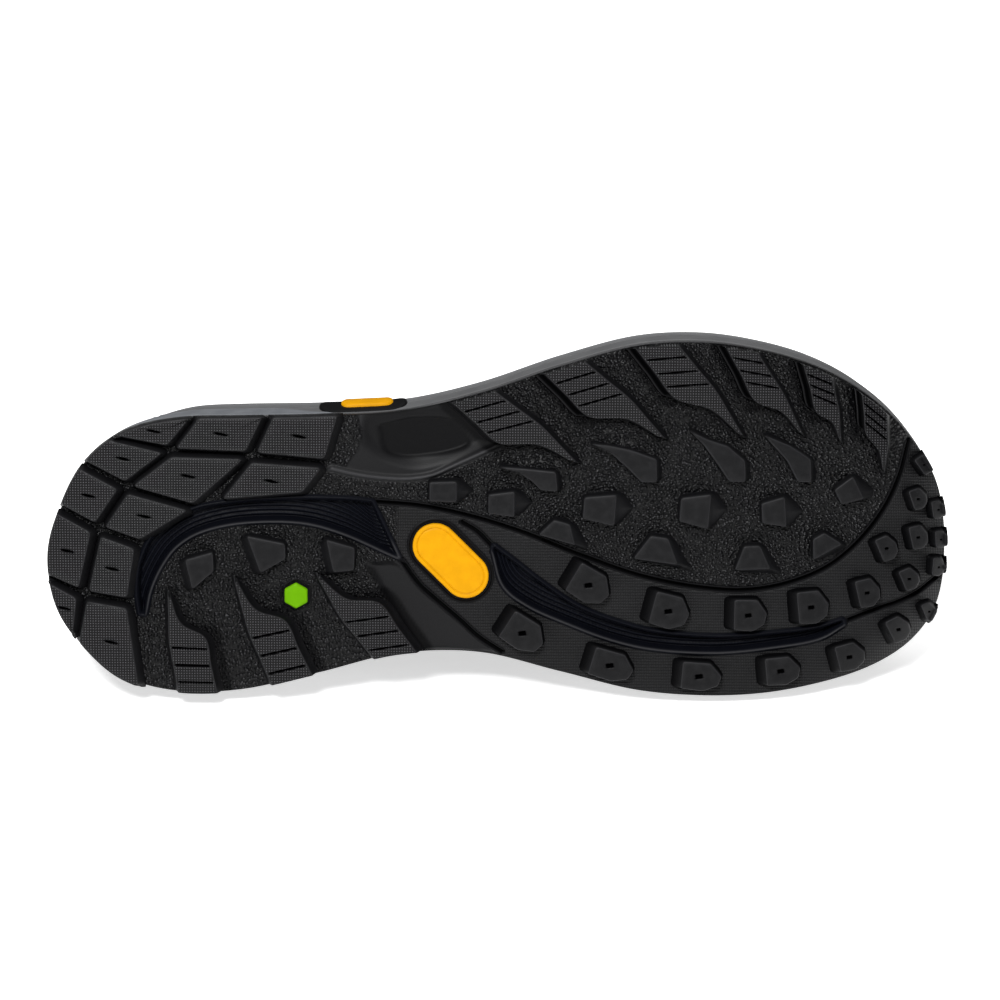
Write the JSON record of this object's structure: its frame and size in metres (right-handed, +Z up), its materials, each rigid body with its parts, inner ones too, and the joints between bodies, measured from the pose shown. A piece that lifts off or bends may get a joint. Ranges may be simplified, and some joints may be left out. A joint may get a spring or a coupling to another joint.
{
  "type": "trail shoe",
  "caption": "Right trail running shoe lying on its inner side, with a deep lugged rubber sole, a thick foam midsole and a low hollow textile upper with tongue and crossed lace.",
  "frame": {"origin": "middle of the bounding box, on the floor that the shoe lies on", "axes": "+X from heel to toe, +Z up, which is from the inner to the outer side of the shoe, -Y the way the tread faces"},
  "size_m": [0.3036, 0.132, 0.1233],
  "materials": {
    "outsole": "matte black moulded rubber with grained floors",
    "midsole": "dark grey moulded foam, pale band at the lateral heel",
    "upper": "black woven textile with smooth overlays",
    "tongue": "black padded textile",
    "insole": "dark grey liner",
    "lace": "black woven cord",
    "inlay": "satin amber yellow",
    "plug": "satin lime green"
  },
  "bodies": {
    "root": {"outsole": "outsole", "midsole": "midsole", "upper": "upper", "tongue": "tongue", "insole": "insole", "lace": "lace", "sole_inlay": "inlay", "heel_plug": "plug", "side_tab": "inlay"}
  },
  "joints": []
}
